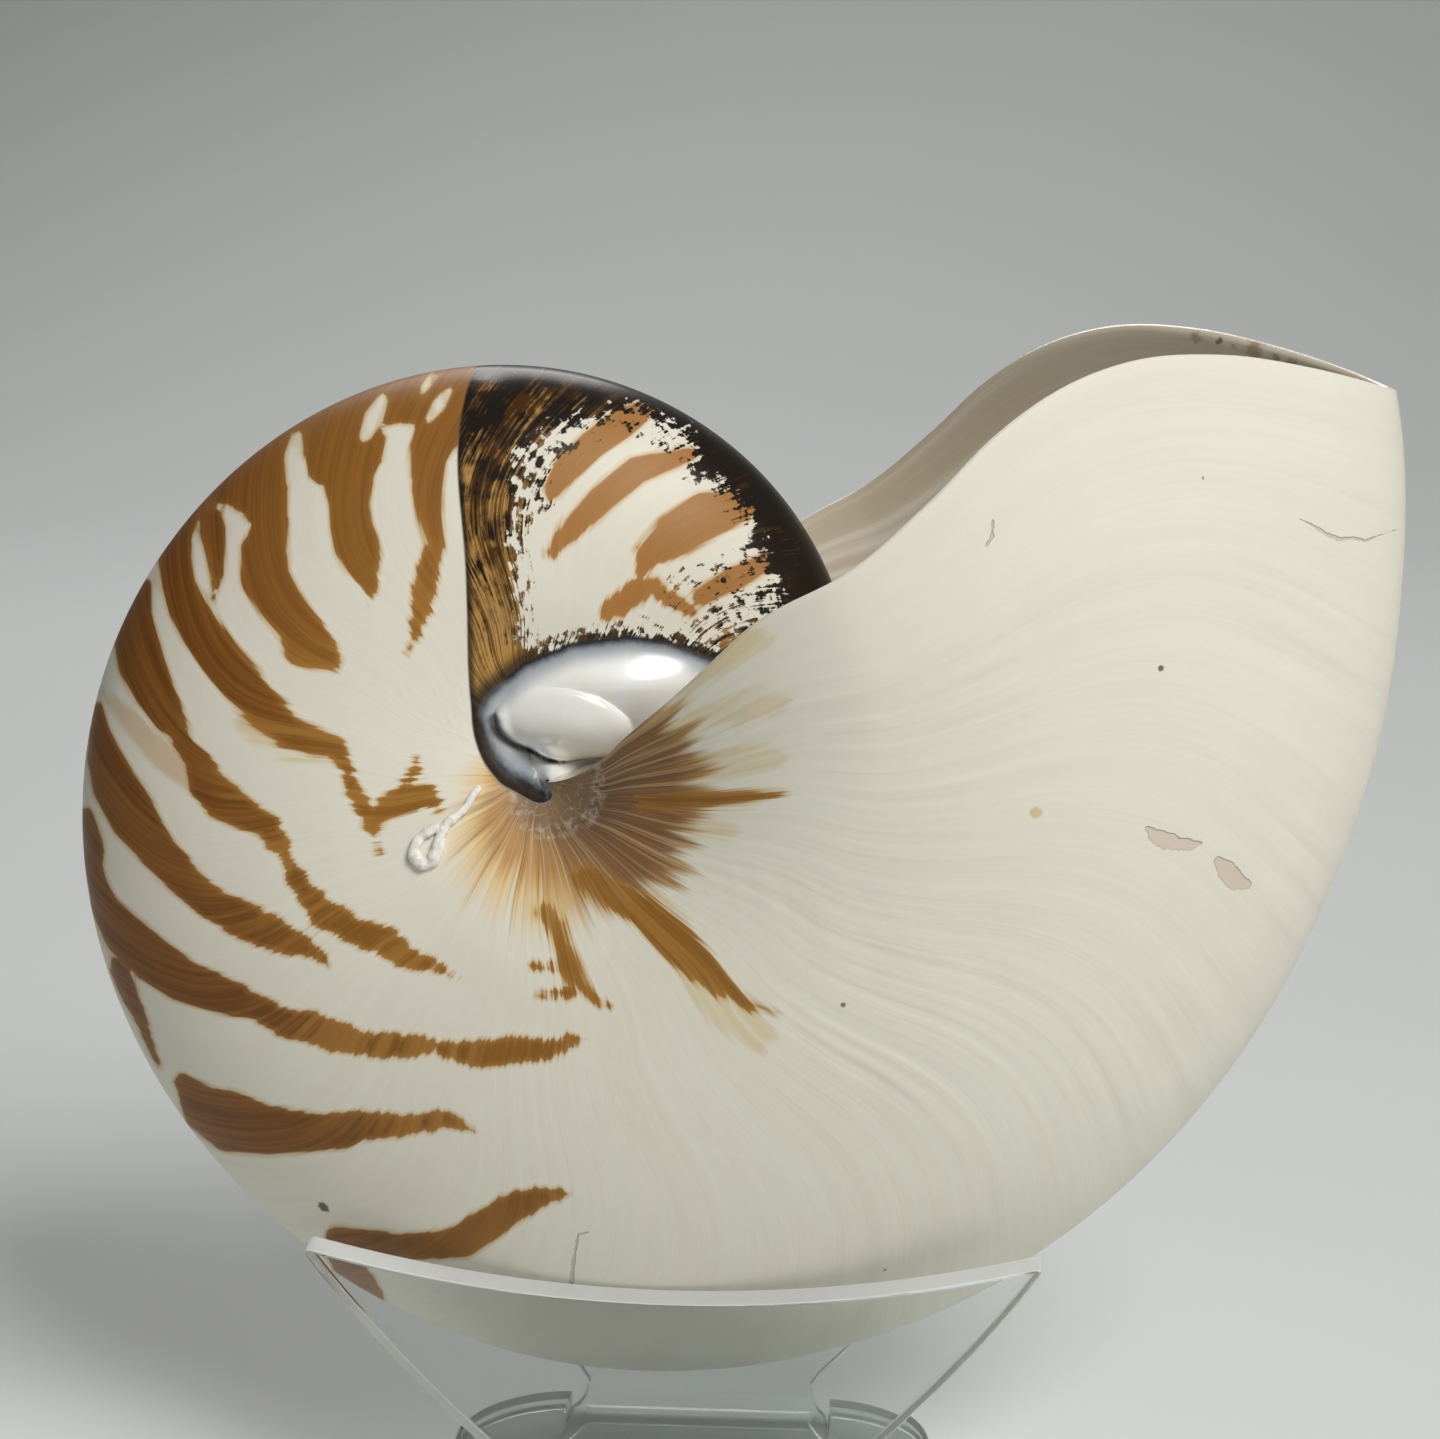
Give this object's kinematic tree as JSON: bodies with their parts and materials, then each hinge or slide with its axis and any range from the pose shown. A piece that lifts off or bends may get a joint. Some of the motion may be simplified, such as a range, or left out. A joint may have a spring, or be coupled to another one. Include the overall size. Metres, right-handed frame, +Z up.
{
  "type": "nautilus shell on stand",
  "caption": "Whole nautilus shell with flame stripes, a worn dark film and a pearly hollow, resting in a clear bent acrylic cradle stand.",
  "frame": {"origin": "under the middle of the stand's base, on the surface it stands on", "axes": "+Z up, the pictured flank faces -Y, the open end of the shell is towards +X and up, the coiling axis runs along Y"},
  "size_m": [0.1673, 0.081, 0.1523],
  "materials": {
    "shell": "satin cream shell with orange-brown flame stripes, worn black-brown film, pearly nacre in the hollow and the chamber",
    "acrylic": "clear polished sheet with pale cut edges"
  },
  "bodies": {
    "root": {"nautilus_shell": "shell", "acrylic_stand": "acrylic"}
  },
  "joints": []
}
